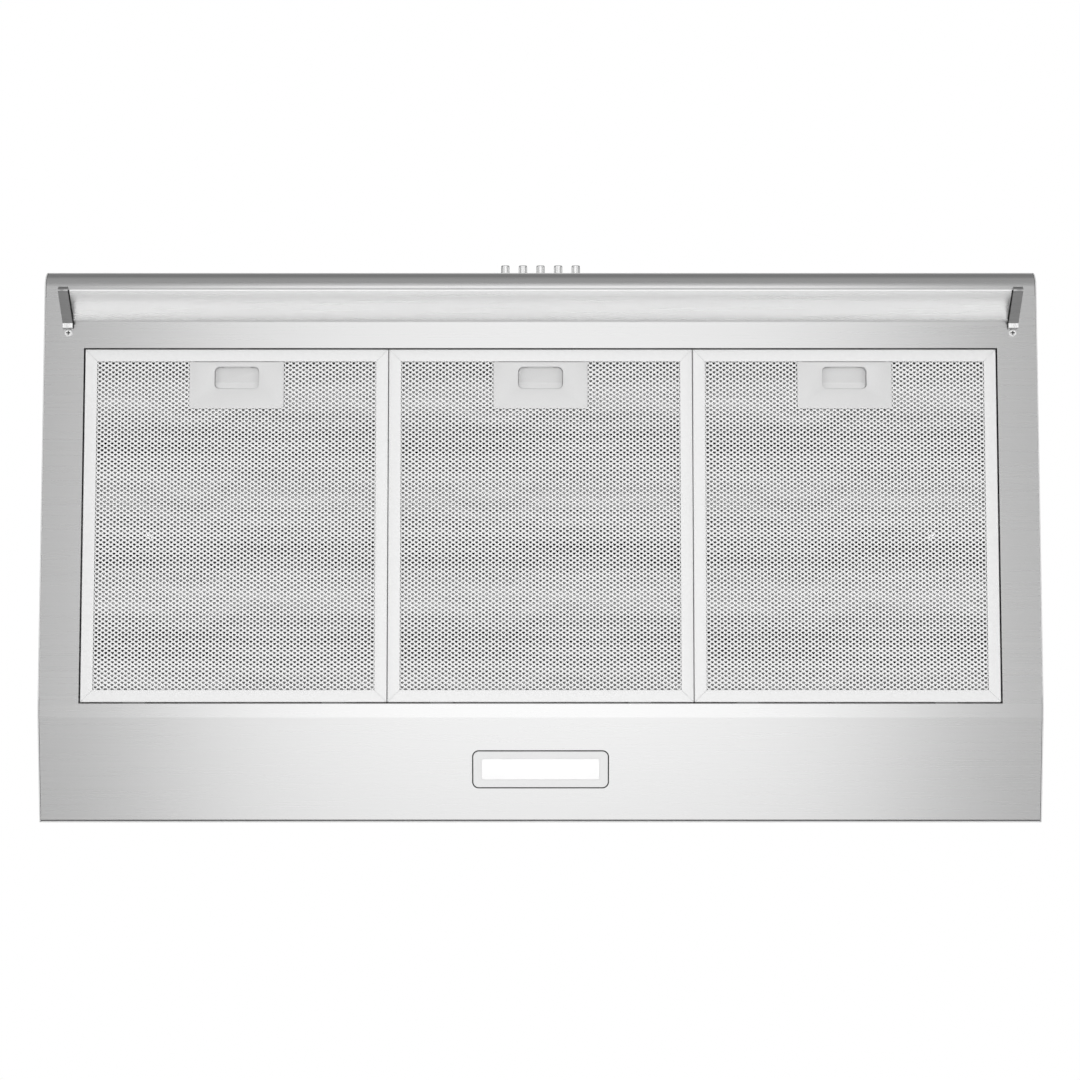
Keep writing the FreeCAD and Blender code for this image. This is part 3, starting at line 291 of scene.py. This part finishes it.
def mesh_aluminium(name, value, metallic):
    """Expanded aluminium strands: plain colour, with drawn-metal variation in gloss and relief."""
    material, tree, shader = new_material(name, Metallic=metallic)
    shader.inputs["Base Color"].default_value = grey(value)
    drawn = noise(tree, (300.0, 900.0, 900.0), detail=3.0)
    drive(tree, drawn, shader.inputs["Roughness"], 0.34, 0.5)
    relief(tree, drawn, shader, 0.03 * MM)
    return material


def moulded(name, colour, rough, spread=0.03, scale=900.0, **sockets):
    """Moulded plastic, rubber or paint with a spark-eroded texture."""
    material, tree, shader = new_material(name, **sockets)
    texture = noise(tree, (scale, scale, scale), detail=3.0)
    dark = tuple(part * (1 - spread) for part in colour[:3]) + (1.0,)
    light = tuple(min(1.0, part * (1 + spread)) for part in colour[:3]) + (1.0,)
    paint(tree, texture, shader, dark, light)
    drive(tree, texture, shader.inputs["Roughness"], *rough)
    relief(tree, texture, shader, 0.02 * MM)
    return material


def glow(material, strength):
    """Gives a look a faint white light of its own, as from light that passes through it; on the
    glass edges it is a painted highlight.
    """
    shader = principled(material)
    shader.inputs["Emission Color"].default_value = grey(1.0)
    shader.inputs["Emission Strength"].default_value = strength
    return material


def clear_glass():
    """Tempered glass with a faint milky film and a slight unevenness in its polish."""
    material, tree, shader = new_material("clear_glass", Transmission_Weight=0.95, IOR=1.45)
    film = noise(tree, (6.0, 6.0, 6.0))
    paint(tree, film, shader, grey(0.985), grey(1.0))
    drive(tree, film, shader.inputs["Roughness"], 0.01, 0.03)
    return material


STRAP_GRAIN = (60.0, 700.0, 700.0)
LOOKS = {
    "brushed_steel": brushed_steel("brushed_steel", (1.0, 0.0, 0.0)),
    "zinc_sheet": zinc_sheet(),
    "bright_screws": satin_metal("bright_screws", 0.72, 0.84, (0.12, 0.2)),
    "brass_screw": brass_screw(),
    "bracket_steel": satin_metal("bracket_steel", 0.48, 0.54, (0.26, 0.34), scale=STRAP_GRAIN),
    "button_chrome": satin_metal("button_chrome", 0.78, 0.84, (0.08, 0.16)),
    "filter_aluminium": filter_aluminium(),
    "mesh_aluminium": mesh_aluminium("mesh_aluminium", 0.98, 0.0),
    "clear_glass": clear_glass(),
    "black_rubber": moulded("black_rubber", grey(0.018), (0.6, 0.75), spread=0.2),
    "black_plastic": moulded("black_plastic", grey(0.025), (0.38, 0.5), spread=0.15),
    "white_plastic": moulded("white_plastic", grey(0.825), (0.32, 0.42), spread=0.015),
    "latch_plastic": moulded("latch_plastic", grey(0.7), (0.36, 0.46), spread=0.015),
    "opal_plastic": glow(moulded("opal_plastic", grey(0.88), (0.3, 0.4), spread=0.01), 0.14),
    "board_white": moulded("board_white", grey(0.78), (0.3, 0.4), spread=0.05, scale=300.0),
    "led_yellow": moulded("led_yellow", (0.85, 0.68, 0.12, 1.0), (0.2, 0.35), scale=1500.0),
    "motor_paint": moulded("motor_paint", grey(0.045), (0.3, 0.45), spread=0.2, scale=500.0),
    "lead_sheath": moulded("lead_sheath", grey(0.5), (0.42, 0.55), spread=0.05),
}
SIDE_STEEL = brushed_steel("brushed_steel_side", (0.0, 1.0, 0.0))
HANDLE_LOOK = moulded("handle_aluminium", grey(0.74), (0.36, 0.46), spread=0.012, Metallic=0.15)
# painted shade: the inner and deep sheets are the face's aluminium, given darker colours for the
# shade inside the filter
SHADED_INNER_MESH_LOOK = mesh_aluminium("inner_mesh_painted_shade", 0.62, 0.3)
SHADED_DEEP_MESH_LOOK = mesh_aluminium("deep_mesh_painted_shade", 0.15, 0.5)
# painted shade: the tabs in the gap behind the pan's edge get a dark look
SHADED_TAB_LOOK = satin_metal("tab_painted_shade", 0.13, 0.18, (0.4, 0.5))
# painted highlight: a lighter copy of the latch's plastic for its sloping finger lip
LIT_LIP_LOOK = moulded("latch_lip", grey(0.83), (0.36, 0.46), spread=0.015)
# painted highlight on the glass's ground edges, and painted shade on its front edge
LIT_EDGE_LOOK = glow(moulded("ground_glass_edge_painted_highlight", grey(0.84), (0.45, 0.6), spread=0.02), 0.22)
SHADED_FRONT_EDGE_LOOK = moulded("ground_glass_front_painted_shade", grey(0.60), (0.4, 0.55), spread=0.02)
# bright plating on the screw heads; on the bracket feet the same look is a painted highlight
PLATING_AND_HIGHLIGHT_LOOK = moulded("bright_plating_and_painted_highlight", grey(0.92), (0.22, 0.34), spread=0.02, Metallic=0.3)
# painted shade in the screws' cross recesses
SHADED_RECESS_LOOK = satin_metal("screw_recess_painted_shade", 0.06, 0.1, (0.4, 0.5))
# painted highlight on the sheets' rims that face down, towards the lights
LIT_RIM_LOOK = moulded("rim_painted_highlight", grey(0.74), (0.3, 0.45), spread=0.02, Metallic=0.2)

for node in frame["nodes"].values():
    for place in node.material_slots:
        place.material = LOOKS[place.material.name.split(".")[0]]
for side in SIDES:
    for place in frame["nodes"][f"{side}_side_panel"].material_slots:
        place.material = SIDE_STEEL


# ---------------------------------------------------------------- mesh helpers
def new_piece(name, vertices, faces, look):
    """A mesh object from points and faces, smooth except across sharp corners."""
    mesh = bpy.data.meshes.new(name)
    mesh.from_pydata([tuple(v) for v in vertices], [], [tuple(f) for f in faces])
    mesh.materials.append(look)
    mesh.polygons.foreach_set("use_smooth", [True] * len(mesh.polygons))
    mesh.set_sharp_from_angle(angle=math.radians(35.0))
    mesh.update()
    piece = bpy.data.objects.new(name, mesh)
    bpy.context.scene.collection.objects.link(piece)
    return piece


def bevelled(node, width, look, body):
    """A copy of a CAD node's surface with its corners rounded, standing for the node."""
    mesh = bpy.data.meshes.new(node + "_finished")
    shape = bmesh.new()
    shape.from_mesh(frame["nodes"][node].data)
    bmesh.ops.remove_doubles(shape, verts=shape.verts, dist=WELD)
    bmesh.ops.dissolve_limit(
        shape, angle_limit=FLAT_ANGLE, verts=shape.verts, edges=shape.edges
    )
    shared = [edge for edge in shape.edges if len(edge.link_faces) == 2]
    sharp = [edge for edge in shared if edge.calc_face_angle(0.0) > CORNER_ANGLE]
    bmesh.ops.bevel(
        shape, geom=sharp, offset=width, offset_type="WIDTH", segments=BEVEL_STEPS,
        profile=0.6, affect="EDGES", clamp_overlap=True,
    )
    shape.to_mesh(mesh)
    shape.free()
    mesh.materials.clear()
    mesh.materials.append(look)
    mesh.polygons.foreach_set("use_smooth", [True] * len(mesh.polygons))
    mesh.polygons.foreach_set("material_index", [0] * len(mesh.polygons))
    mesh.set_sharp_from_angle(angle=SMOOTH_ANGLE)
    piece = bpy.data.objects.new(node + "_finished", mesh)
    bpy.context.scene.collection.objects.link(piece)
    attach(piece, body)
    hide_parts(node)
    return piece


def dress(piece, look, chosen):
    """Gives the faces that chosen(face) picks a second look."""
    piece.data.materials.append(look)
    for face in piece.data.polygons:
        face.material_index = 1 if chosen(face) else 0


# ---------------------------------------------------------------- filter frames
def rail_profile(height):
    """The channel's outline as (distance in from the frame's edge, height), counterclockwise."""
    outline = []

    def arc(centre, radius, first, last, steps):
        for step in range(steps + 1):
            angle = math.radians(first + (last - first) * step / steps)
            out, up = radius * math.cos(angle), radius * math.sin(angle)
            outline.append((centre[0] + out, centre[1] + up))

    top = height - RAIL_LIP
    arc((RAIL_ROUND, RAIL_ROUND), RAIL_ROUND, 180, 270, 6)
    arc((RAIL_FACE - HEM_ROUND, HEM_ROUND), HEM_ROUND, 270, 360, 3)
    arc((RAIL_FACE - HEM_ROUND, RAIL_LIP - HEM_ROUND), HEM_ROUND, 0, 90, 3)
    outline.append((RAIL_WALL, RAIL_LIP))
    outline.append((RAIL_WALL, top))
    outline.append((RAIL_FACE, top))
    outline.append((RAIL_FACE, height))
    arc((RAIL_ROUND, height - RAIL_ROUND), RAIL_ROUND, 90, 180, 4)
    return outline


def mitred_rails(low, high, height):
    """Four channel rails round a rectangle, cut at 45 degrees with a hairline gap."""
    vertices = []
    faces = []
    outline = rail_profile(height)
    middle = (low + high) / 2
    half = (high - low) / 2
    for turn in range(4):
        run = half.x if turn % 2 == 0 else half.y
        reach = half.y if turn % 2 == 0 else half.x
        spin = Matrix.Rotation(math.radians(90 * turn), 4, "Z")
        start = len(vertices)
        for end in (-1, 1):
            for inset, up in outline:
                along = end * (run - inset - MITRE_GAP / math.sqrt(2))
                spot = spin @ Vector((along, -reach + inset, 0))
                vertices.append(Vector((middle.x + spot.x, middle.y + spot.y, low.z + up)))
        count = len(outline)
        for step in range(count):
            after = (step + 1) % count
            faces.append((start + step, start + after, start + count + after, start + count + step))
        faces.append(tuple(start + step for step in reversed(range(count))))
        faces.append(tuple(start + count + step for step in range(count)))
    return vertices, faces


def box_points(low, high, vertices, faces):
    """Adds a block between two corners."""
    start = len(vertices)
    for z in (low.z, high.z):
        for x, y in ((low.x, low.y), (high.x, low.y), (high.x, high.y), (low.x, high.y)):
            vertices.append(Vector((x, y, z)))
    faces.append((start + 3, start + 2, start + 1, start))
    faces.append((start + 4, start + 5, start + 6, start + 7))
    for step in range(4):
        after = (step + 1) % 4
        faces.append((start + step, start + after, start + 4 + after, start + 4 + step))


def filter_frame(number):
    """The four rails, and the two tabs that hook behind the pan's edge."""
    node = f"filter_{number}_frame"
    low, high = pan_box(node)
    mesh_high = pan_box(f"filter_{number}_mesh")[1]
    rear = mesh_high.y + MESH_INSET
    near = Vector((low.x + SIDE_GAP, low.y, low.z))
    far = Vector((high.x - SIDE_GAP, rear, low.z))
    vertices, faces = mitred_rails(near, far, high.z - low.z)
    rail_faces = len(faces)
    tab_low = low.z + TAB_RISE
    middle = (low.x + high.x) / 2
    for place in (middle - TAB_SPACING, middle + TAB_SPACING):
        corner = Vector((place - TAB_HALF, rear - RAIL_WALL / 2, tab_low))
        opposite = Vector((place + TAB_HALF, high.y, tab_low + RAIL_WALL))
        box_points(corner, opposite, vertices, faces)
    placed = [FROM_PAN @ v for v in vertices]
    piece = new_piece(f"filter_{number}_rails", placed, faces, LOOKS["filter_aluminium"])
    # the tabs get painted shade, for the dark gap they sit in
    dress(piece, SHADED_TAB_LOOK, lambda face: face.index >= rail_faces)
    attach(piece, f"filter_{number}")
    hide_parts(node)


# ---------------------------------------------------------------- expanded mesh
def expanded_sheet(half_width, length, pitch, row, opening, keep, wave, swell):
    """Vertices and quads of a closed expanded sheet, centred in x, from y = 0 to length.

    Each opening is a rounded triangle with its tip towards the wall, in a staggered grid.
    keep(x, y) says which cells exist, wave(x, y) lifts the sheet and swell(x, y) stretches
    an opening."""
    columns = int(half_width * 2 / pitch) + 2
    rows = int(length / row) + 1
    corner = pitch / 4 - row * row / pitch
    order = [(1, 0, -1), (0, 1, 1), (0, 1, -1), (-1, 0, 1), (0, -1, -1), (0, -1, 1)]
    wide, flat, tall = opening
    lean = -0.3 * tall
    tip = 0.35 * flat
    ring = [(wide, lean), (tip, tall), (-tip, tall), (-wide, lean), (-flat, -tall), (flat, -tall)]
    index = {}
    low_high = []
    vertices = []
    faces = []
    edges = {}
    for j in range(rows):
        for i in range(-columns, columns):
            m = 2 * i + j % 2
            x, y = m * pitch / 2, (j + 0.5) * row
            if abs(x) > half_width or not keep(x, y):
                continue
            outer = []
            for step_x, step_y, sign in order:
                key = (m + step_x, j + step_y, sign)
                if key not in index:
                    index[key] = len(low_high)
                    spot = (key[0] * pitch / 2 + sign * corner, (key[1] + 0.5) * row)
                    lift = wave(*spot)
                    low_high.append(len(vertices))
                    vertices.append((spot[0], spot[1], lift - STRAND_THICK / 2))
                    vertices.append((spot[0], spot[1], lift + STRAND_THICK / 2))
                outer.append(low_high[index[key]])
            inner = len(vertices)
            lift = wave(x, y)
            stretch = swell(x, y)
            for dx, dy in ring:
                vertices.append((x + dx, y + dy * stretch, lift + STRAND_TWIST * dy / tall))
            for k in range(6):
                after = (k + 1) % 6
                faces.append((outer[after], outer[k], inner + k, inner + after))
                faces.append((outer[k] + 1, outer[after] + 1, inner + after, inner + k))
                edge = (outer[after], outer[k])
                if edge in edges:
                    edges.pop(edge)
                else:
                    edges[(outer[k], outer[after])] = True
    for first, second in edges:
        faces.append((first, second, second + 1, first + 1))
    return vertices, faces


def filter_layers():
    """The meshes of the three layers that every filter shares, around their own origin."""
    low, high = pan_box("filter_2_mesh")
    handle_low, handle_high = pan_box("filter_2_handle")
    half_width = (high.x - low.x) / 2 - MESH_MARGIN
    length = high.y - low.y - 2 * MESH_MARGIN
    start = low.y + MESH_MARGIN
    clear_x = (handle_high.x - handle_low.x) / 2 - HANDLE_COVER
    clear_y = handle_high.y - start - HANDLE_COVER

    def keep(x, y):
        return abs(x) > clear_x or y > clear_y

    def level(x, y):
        return 0.0

    def even(x, y):
        return 1.0

    def ripple(x, y):
        drift = 2.4 * math.sin(x * 31.0) + 1.3 * math.sin(x * 67.0 + 1.0)
        return 0.75 * MM * math.sin(2 * math.pi * y / (23 * MM) + drift)

    def deep_ripple(x, y):
        return 0.8 * MM * math.sin(2 * math.pi * y / (31 * MM) + 2.0 * math.sin(x * 23.0))

    def uneven(x, y):
        drift = 0.8 * math.sin(x * 17.0 + 0.6) + 0.4 * math.sin(x * 47.0)
        slow = math.sin(2 * math.pi * y / (61 * MM) + drift + 1.2)
        quick = math.sin(2 * math.pi * y / (17 * MM) - 1.3 * drift + 2.0)
        return 1.0 + 0.12 * slow + 0.1 * quick

    face = (FACE_PITCH, FACE_ROW, FACE_OPENING, keep, level, uneven)
    inner = (INNER_PITCH, INNER_ROW, INNER_OPENING, keep, ripple, even)
    deep = (DEEP_PITCH, DEEP_ROW, DEEP_OPENING, keep, deep_ripple, even)
    # the inner and deep sheets carry painted shade, darker the deeper they lie
    layers = (
        ("face", face, FACE_LIFT, LOOKS["mesh_aluminium"]),
        ("inner", inner, INNER_LIFT, SHADED_INNER_MESH_LOOK),
        ("deep", deep, DEEP_LIFT, SHADED_DEEP_MESH_LOOK),
    )
    made = []
    for name, weave, lift, look in layers:
        vertices, faces = expanded_sheet(half_width, length, *weave)
        mesh = bpy.data.meshes.new("filter_layer_" + name)
        mesh.from_pydata(vertices, [], faces)
        mesh.polygons.foreach_set("use_smooth", [True] * len(mesh.polygons))
        mesh.materials.append(look)
        mesh.update()
        made.append((name, mesh, Vector((0, start, pan_box("filter_2_frame")[0].z + lift))))
    return made


LAYERS = filter_layers()


def filter_mesh(number):
    """Places the shared layers in one filter."""
    low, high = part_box(f"filter_{number}_mesh")
    centre = (low.x + high.x) / 2
    for name, mesh, corner in LAYERS:
        piece = bpy.data.objects.new(f"filter_{number}_layer_{name}", mesh)
        bpy.context.scene.collection.objects.link(piece)
        piece.matrix_world = FROM_PAN @ Matrix.Translation(corner + Vector((centre, 0, 0)))
        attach(piece, f"filter_{number}")
        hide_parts(f"filter_{number}_mesh")


def filter_latch(number):
    """The slider, with a painted highlight on its finger lip: a lighter copy of the slider's
    plastic.
    """
    node = f"filter_{number}_latch"
    slider = bevelled(node, 0.35 * MM, LOOKS["latch_plastic"], f"latch_{number}")
    lip_start = pan_box(node)[1].y - LIP_LENGTH
    # painted highlight on the finger lip
    dress(slider, LIT_LIP_LOOK, lambda face: (TO_PAN @ face.center).y > lip_start)


for number in FILTERS:
    filter_frame(number)
    filter_mesh(number)
    handle = f"filter_{number}_handle"
    bevelled(handle, 0.3 * MM, HANDLE_LOOK, f"filter_{number}")
    filter_latch(number)


# ---------------------------------------------------------------- other bevelled parts
def visor_bracket(side):
    """A strap whose foot, the part behind the glass, gets a painted highlight where it faces down,
    towards the lights.
    """
    look = LOOKS["bracket_steel"]
    arm = bevelled(f"visor_bracket_{side}", 0.25 * MM, look, "root")

    def foot_facing_lights(face):
        return face.center.y > BRACKET_FOOT_Y and face.normal.z < FACING_DOWN

    # painted highlight on the foot's faces that face the lights
    dress(arm, PLATING_AND_HIGHLIGHT_LOOK, foot_facing_lights)


def visor_screws():
    """Bright screw heads, with painted shade in the cross recess."""
    screws = bevelled("visor_screws", 0.1 * MM, PLATING_AND_HIGHLIGHT_LOOK, "root")

    def in_recess(face):
        corners = [screws.data.vertices[index].co for index in face.vertices]
        away = [math.hypot(abs(c.x) - VISOR_SCREW[0], c.y - VISOR_SCREW[1]) for c in corners]
        return max(away) < SCREW_RECESS

    # painted shade in the recess
    dress(screws, SHADED_RECESS_LOOK, in_recess)


def visor_glass():
    """A clear pane with ground edges: a painted highlight on the edges, and painted shade on the
    front one, for the nose's shade.
    """
    pane = bevelled("visor_glass", 0.15 * MM, LOOKS["clear_glass"], "root")
    pane.data.materials.append(LIT_EDGE_LOOK)
    pane.data.materials.append(SHADED_FRONT_EDGE_LOOK)
    broad = 0.3 * max(face.area for face in pane.data.polygons)
    for face in pane.data.polygons:
        # narrow faces get the painted highlight, those facing the front the painted shade
        narrow = 2 if face.normal.y < FACING_FRONT else 1
        face.material_index = 0 if face.area > broad else narrow


def lit_rim(sheet, on_rim):
    """Paints a highlight on the cut edge of a sheet where it faces down, towards the lights."""
    dress(sheet, LIT_RIM_LOOK, lambda face: face.normal.z < FACING_DOWN and on_rim(face.center))


for number in BUTTONS:
    button = f"button_{number}"
    bevelled(button, 0.12 * MM, LOOKS["button_chrome"], button)
for side in SIDES:
    visor_bracket(side)
visor_screws()
visor_glass()
for side in SIDES:
    panel = bevelled(f"{side}_side_panel", 0.1 * MM, SIDE_STEEL, "root")
    lit_rim(panel, lambda centre: abs(centre.x) > cad_high.x - RIM_DEPTH)
back = bevelled("back_panel", 0.1 * MM, LOOKS["zinc_sheet"], "root")
lit_rim(back, lambda centre: centre.y > cad_high.y - RIM_DEPTH)
bevelled("lamp_housing", 0.2 * MM, LOOKS["white_plastic"], "root")
bevelled("lamp_diffuser", 0.25 * MM, LOOKS["opal_plastic"], "root")


# ---------------------------------------------------------------- floor, light and camera
def stage_floor():
    """A plain pale floor, far enough below for the hood to be seen from underneath."""
    half = FLOOR_SIZE / 2
    height = cad_low.z - FLOOR_DROP
    spots = [-half + FLOOR_SIZE * step / FLOOR_STEPS for step in range(FLOOR_STEPS + 1)]
    vertices = [(x, y, height) for y in spots for x in spots]
    faces = []
    for row in range(FLOOR_STEPS):
        for column in range(FLOOR_STEPS):
            near = row * len(spots) + column
            far = near + len(spots)
            faces.append((near, near + 1, far + 1, far))
    look = moulded("floor", grey(0.86), (0.5, 0.6), spread=0.01, scale=2.0)
    floor = new_piece("floor", vertices, faces, look)
    floor.visible_glossy = False


def area_light(name, x, y, z, size, radiance):
    """A soft rectangular light that faces straight up and that no view shows."""
    lamp = bpy.data.lights.new(name, "AREA")
    lamp.shape = "RECTANGLE"
    lamp.size, lamp.size_y = size
    lamp.energy = radiance * size[0] * size[1] * math.pi
    fixture = bpy.data.objects.new(name, lamp)
    bpy.context.scene.collection.objects.link(fixture)
    fixture.location = (x, y, z)
    fixture.rotation_euler = Vector((0, 0, -z)).to_track_quat("-Z", "Y").to_euler()
    fixture.visible_camera = False


def soft_world():
    """White behind the object, even fill light, and a studio to reflect, dim at the horizon."""
    world = bpy.data.worlds.new("studio")
    bpy.context.scene.world = world
    world.use_nodes = True
    tree = world.node_tree
    tree.nodes.clear()
    place = add_node(tree, "ShaderNodeTexCoord")
    split = add_node(tree, "ShaderNodeSeparateXYZ")
    share = add_node(tree, "ShaderNodeMapRange")
    share.inputs["From Min"].default_value = -1.0
    ramp = add_node(tree, "ShaderNodeValToRGB")
    stops = ramp.color_ramp.elements
    for stop, (position, value) in zip(stops, (STUDIO_STOPS[0], STUDIO_STOPS[-1])):
        stop.position = position
        stop.color = grey(value)
    for position, value in STUDIO_STOPS[1:-1]:
        stops.new(position).color = grey(value)
    light = add_node(tree, "ShaderNodeBackground")
    light.inputs["Strength"].default_value = STUDIO_STRENGTH
    white = add_node(tree, "ShaderNodeBackground")
    white.inputs["Color"].default_value = grey(1.0)
    fill = add_node(tree, "ShaderNodeBackground")
    fill.inputs["Color"].default_value = grey(FILL_LEVEL)
    seen = add_node(tree, "ShaderNodeLightPath")
    spread = add_node(tree, "ShaderNodeMixShader")
    mix = add_node(tree, "ShaderNodeMixShader")
    output = add_node(tree, "ShaderNodeOutputWorld")
    link(tree, place.outputs["Generated"], split.inputs["Vector"])
    link(tree, split.outputs["Z"], share.inputs["Value"])
    link(tree, share.outputs["Result"], ramp.inputs["Fac"])
    link(tree, ramp.outputs["Color"], light.inputs["Color"])
    link(tree, seen.outputs["Is Diffuse Ray"], spread.inputs["Fac"])
    link(tree, light.outputs["Background"], spread.inputs[1])
    link(tree, fill.outputs["Background"], spread.inputs[2])
    link(tree, seen.outputs["Is Camera Ray"], mix.inputs["Fac"])
    link(tree, spread.outputs["Shader"], mix.inputs[1])
    link(tree, white.outputs["Background"], mix.inputs[2])
    link(tree, mix.outputs["Shader"], output.inputs["Surface"])


def underside_camera():
    """Looks straight up at the pan, from below its middle, with the front at the top."""
    camera = bpy.data.cameras.new("camera")
    camera.sensor_width = SENSOR
    camera.lens = LENS
    holder = bpy.data.objects.new("camera", camera)
    bpy.context.scene.collection.objects.link(holder)
    middle = (cad_low.y + cad_high.y) / 2
    holder.location = (CAMERA_X, middle, cad_low.z - CAMERA_DROP)
    holder.rotation_euler = (math.pi, 0, 0)
    bpy.context.scene.camera = holder


stage_floor()
soft_world()
area_light("under", 0, -0.15, LIGHT_Z, (1.7, 3.2), 0.92)
area_light("crease", 0, 0.27, CREASE_LIGHT_Z, (1.7, 0.26), 0.58)
area_light("left", -2.6, 0, LIGHT_Z, (1.8, 2.8), 1.2)
area_light("right", 2.6, 0, LIGHT_Z, (1.8, 2.8), 1.2)
underside_camera()
bpy.context.scene.view_settings.view_transform = "Standard"
